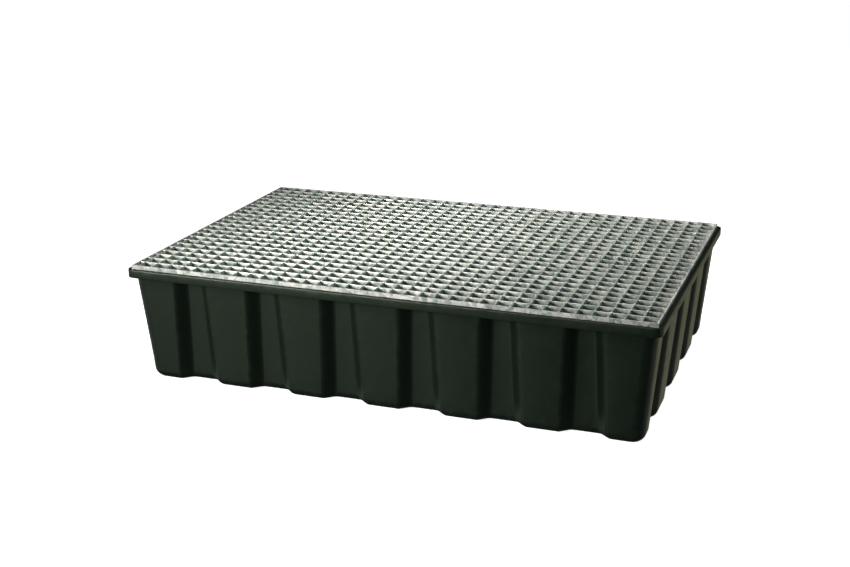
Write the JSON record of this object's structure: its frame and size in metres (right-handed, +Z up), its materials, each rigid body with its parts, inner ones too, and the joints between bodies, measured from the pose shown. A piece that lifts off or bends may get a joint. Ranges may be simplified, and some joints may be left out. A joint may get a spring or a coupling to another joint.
{
  "type": "spill containment pallet",
  "caption": "Ribbed, tapered plastic sump tray with a lift-out slotted steel grating resting on a ledge inside its rim, for standing drums and cans over a spill basin.",
  "frame": {"origin": "centre of the tray's flat underside, on the surface it stands on", "axes": "+X along the long side, +Y towards the back long side, +Z up; the front long side faces -Y"},
  "size_m": [1.2, 0.8, 0.275],
  "materials": {
    "polyethylene": "moulded green-black polyethylene with a satin sheen",
    "galvanised_steel": "hot-dip galvanised, bright with a faint spangle"
  },
  "bodies": {
    "tray": {"sump_tray": "polyethylene"},
    "grating": {"grating_frame": "galvanised_steel", "bearing_bar_01": "galvanised_steel", "bearing_bar_02": "galvanised_steel", "bearing_bar_03": "galvanised_steel", "bearing_bar_04": "galvanised_steel", "bearing_bar_05": "galvanised_steel", "bearing_bar_06": "galvanised_steel", "bearing_bar_07": "galvanised_steel", "bearing_bar_08": "galvanised_steel", "bearing_bar_09": "galvanised_steel", "bearing_bar_10": "galvanised_steel", "bearing_bar_11": "galvanised_steel", "bearing_bar_12": "galvanised_steel", "bearing_bar_13": "galvanised_steel", "bearing_bar_14": "galvanised_steel", "bearing_bar_15": "galvanised_steel", "bearing_bar_16": "galvanised_steel", "bearing_bar_17": "galvanised_steel", "bearing_bar_18": "galvanised_steel", "bearing_bar_19": "galvanised_steel", "bearing_bar_20": "galvanised_steel", "bearing_bar_21": "galvanised_steel", "bearing_bar_22": "galvanised_steel", "bearing_bar_23": "galvanised_steel", "bearing_bar_24": "galvanised_steel", "bearing_bar_25": "galvanised_steel", "bearing_bar_26": "galvanised_steel", "bearing_bar_27": "galvanised_steel", "bearing_bar_28": "galvanised_steel", "bearing_bar_29": "galvanised_steel", "bearing_bar_30": "galvanised_steel", "bearing_bar_31": "galvanised_steel", "bearing_bar_32": "galvanised_steel", "bearing_bar_33": "galvanised_steel", "bearing_bar_34": "galvanised_steel", "bearing_bar_35": "galvanised_steel", "cross_bar_01": "galvanised_steel", "cross_bar_02": "galvanised_steel", "cross_bar_03": "galvanised_steel", "cross_bar_04": "galvanised_steel", "cross_bar_05": "galvanised_steel", "cross_bar_06": "galvanised_steel", "cross_bar_07": "galvanised_steel", "cross_bar_08": "galvanised_steel", "cross_bar_09": "galvanised_steel", "cross_bar_10": "galvanised_steel", "cross_bar_11": "galvanised_steel", "cross_bar_12": "galvanised_steel", "cross_bar_13": "galvanised_steel", "cross_bar_14": "galvanised_steel", "cross_bar_15": "galvanised_steel", "cross_bar_16": "galvanised_steel", "cross_bar_17": "galvanised_steel", "cross_bar_18": "galvanised_steel", "cross_bar_19": "galvanised_steel", "cross_bar_20": "galvanised_steel", "cross_bar_21": "galvanised_steel", "cross_bar_22": "galvanised_steel", "cross_bar_23": "galvanised_steel"}
  },
  "joints": [
    {"name": "grating_lift", "type": "slide", "parent": "tray", "child": "grating", "axis": [0, 0, 1], "range_m": [0, 0.2]}
  ]
}
